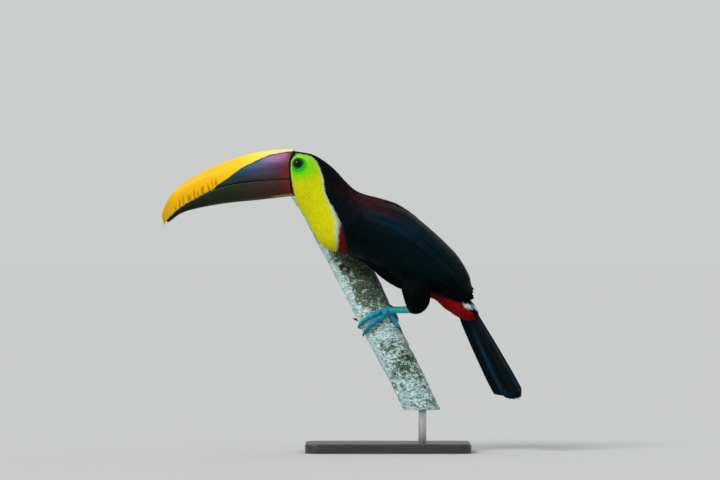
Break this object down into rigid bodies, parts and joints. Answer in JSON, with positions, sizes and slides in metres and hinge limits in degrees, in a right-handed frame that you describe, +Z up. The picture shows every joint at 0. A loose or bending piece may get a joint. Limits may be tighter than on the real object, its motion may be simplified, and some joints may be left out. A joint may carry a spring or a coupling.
{
  "type": "toucan",
  "caption": "Life-size yellow-throated toucan with a long curved bill and hanging tail, gripping a cut length of branch that a rod holds over a flat base.",
  "frame": {"origin": "centre of the stand base's flat underside", "axes": "+Z up; the bird faces -X with its left side towards -Y and its tail towards +X"},
  "size_m": [0.4597, 0.1612, 0.3837],
  "materials": {
    "black_feather": "soft overlapping feathers with a faint blue and maroon sheen",
    "yellow_feather": "soft fine feathers",
    "red_feather": "soft fine feathers",
    "face_skin": "bare yellow-green skin with short feathers behind it",
    "bill_yellow": "horn with a satin gloss",
    "bill_dark": "horn with a satin gloss",
    "eye": "wet and glossy",
    "blue_scale": "scaled skin",
    "claw": "smooth horn",
    "bark": "rough bark with pale lichen",
    "stand_paint": "black satin paint",
    "steel": "brushed"
  },
  "bodies": {
    "root": {"bill_lower": "bill_dark", "bill_upper": "bill_yellow", "claw_inner_front_left": "claw", "claw_inner_front_right": "claw", "claw_inner_hind_left": "claw", "claw_inner_hind_right": "claw", "claw_outer_front_left": "claw", "claw_outer_front_right": "claw", "claw_outer_hind_left": "claw", "claw_outer_hind_right": "claw", "eye_left": "eye", "eye_right": "eye", "foot_left": "blue_scale", "foot_right": "blue_scale", "head": "face_skin", "neck": "yellow_feather", "perch": "bark", "shank_left": "blue_scale", "shank_right": "blue_scale", "stand_base": "stand_paint", "stand_rod": "steel", "tail": "black_feather", "tail_coverts": "red_feather", "thigh_left": "black_feather", "thigh_right": "black_feather", "trunk": "black_feather", "wing_left": "black_feather", "wing_right": "black_feather"}
  },
  "joints": []
}
